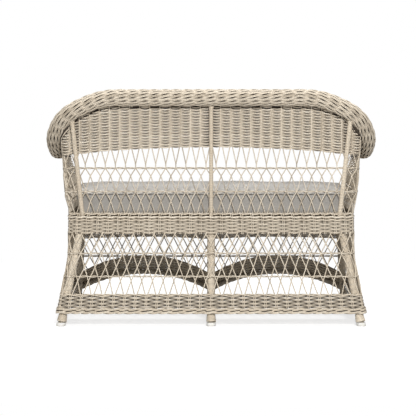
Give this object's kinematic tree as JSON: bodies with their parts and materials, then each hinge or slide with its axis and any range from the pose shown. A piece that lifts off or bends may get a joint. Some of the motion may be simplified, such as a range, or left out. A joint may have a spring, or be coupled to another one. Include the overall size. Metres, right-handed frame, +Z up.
{
  "type": "patio loveseat",
  "caption": "Woven patio loveseat with a rolled rim running from the back down into flared arms, open lattice sides and skirt, wrapped legs and a loose seat cushion.",
  "frame": {"origin": "On the floor, in the middle of the footprint, at the centre of the bounding box's bottom face.", "axes": "+Z up, +Y towards the back, +X to the sitter's left. The seat faces -Y."},
  "size_m": [1.2462, 0.7534, 0.89],
  "materials": {
    "frame_aluminium": "powder coated, satin",
    "woven_strand": "woven round strand, weathered beige grey",
    "wound_strand": "wound round strand, weathered beige grey",
    "glide_plastic": "translucent whitish",
    "cushion_fabric": "light grey woven outdoor fabric",
    "cushion_foam": "open-cell foam"
  },
  "bodies": {
    "frame": {"apron_arch_tubes": "frame_aluminium", "apron_trim": "woven_strand", "arm_post_left": "frame_aluminium", "arm_post_right": "frame_aluminium", "arm_rail_left": "frame_aluminium", "arm_rail_right": "frame_aluminium", "arm_roll_left": "woven_strand", "arm_roll_right": "woven_strand", "back_leg_centre": "frame_aluminium", "back_leg_left": "frame_aluminium", "back_leg_right": "frame_aluminium", "back_post_centre": "frame_aluminium", "back_post_left": "frame_aluminium", "back_post_right": "frame_aluminium", "back_roll": "woven_strand", "back_top_rail": "frame_aluminium", "border_back": "woven_strand", "border_left": "woven_strand", "border_right": "woven_strand", "bottom_band_back": "woven_strand", "bottom_band_left": "woven_strand", "bottom_band_right": "woven_strand", "foot_wraps": "wound_strand", "front_apron_left": "woven_strand", "front_apron_right": "woven_strand", "front_lattice": "woven_strand", "front_leg_centre": "frame_aluminium", "front_leg_left": "frame_aluminium", "front_leg_right": "frame_aluminium", "leg_glides": "glide_plastic", "leg_wraps": "wound_strand", "lower_lattice_back": "woven_strand", "lower_lattice_left": "woven_strand", "lower_lattice_right": "woven_strand", "post_bindings": "wound_strand", "seat_band_back": "woven_strand", "seat_band_front": "woven_strand", "seat_band_left": "woven_strand", "seat_band_right": "woven_strand", "seat_cross_tubes": "frame_aluminium", "seat_deck": "woven_strand", "seat_rail_back": "frame_aluminium", "seat_rail_front": "frame_aluminium", "seat_rail_left": "frame_aluminium", "seat_rail_right": "frame_aluminium", "skirt_rail_back": "frame_aluminium", "skirt_rail_left": "frame_aluminium", "skirt_rail_right": "frame_aluminium", "upper_lattice_back": "woven_strand", "upper_lattice_left": "woven_strand", "upper_lattice_right": "woven_strand", "upper_weave_back": "woven_strand", "upper_weave_left": "woven_strand", "upper_weave_right": "woven_strand"},
    "cushion": {"cushion_cover": "cushion_fabric", "cushion_core": "cushion_foam"}
  },
  "joints": [
    {"name": "cushion_lift", "type": "slide", "parent": "frame", "child": "cushion", "axis": [0, 0, 1], "range_m": [0, 0.5]}
  ]
}
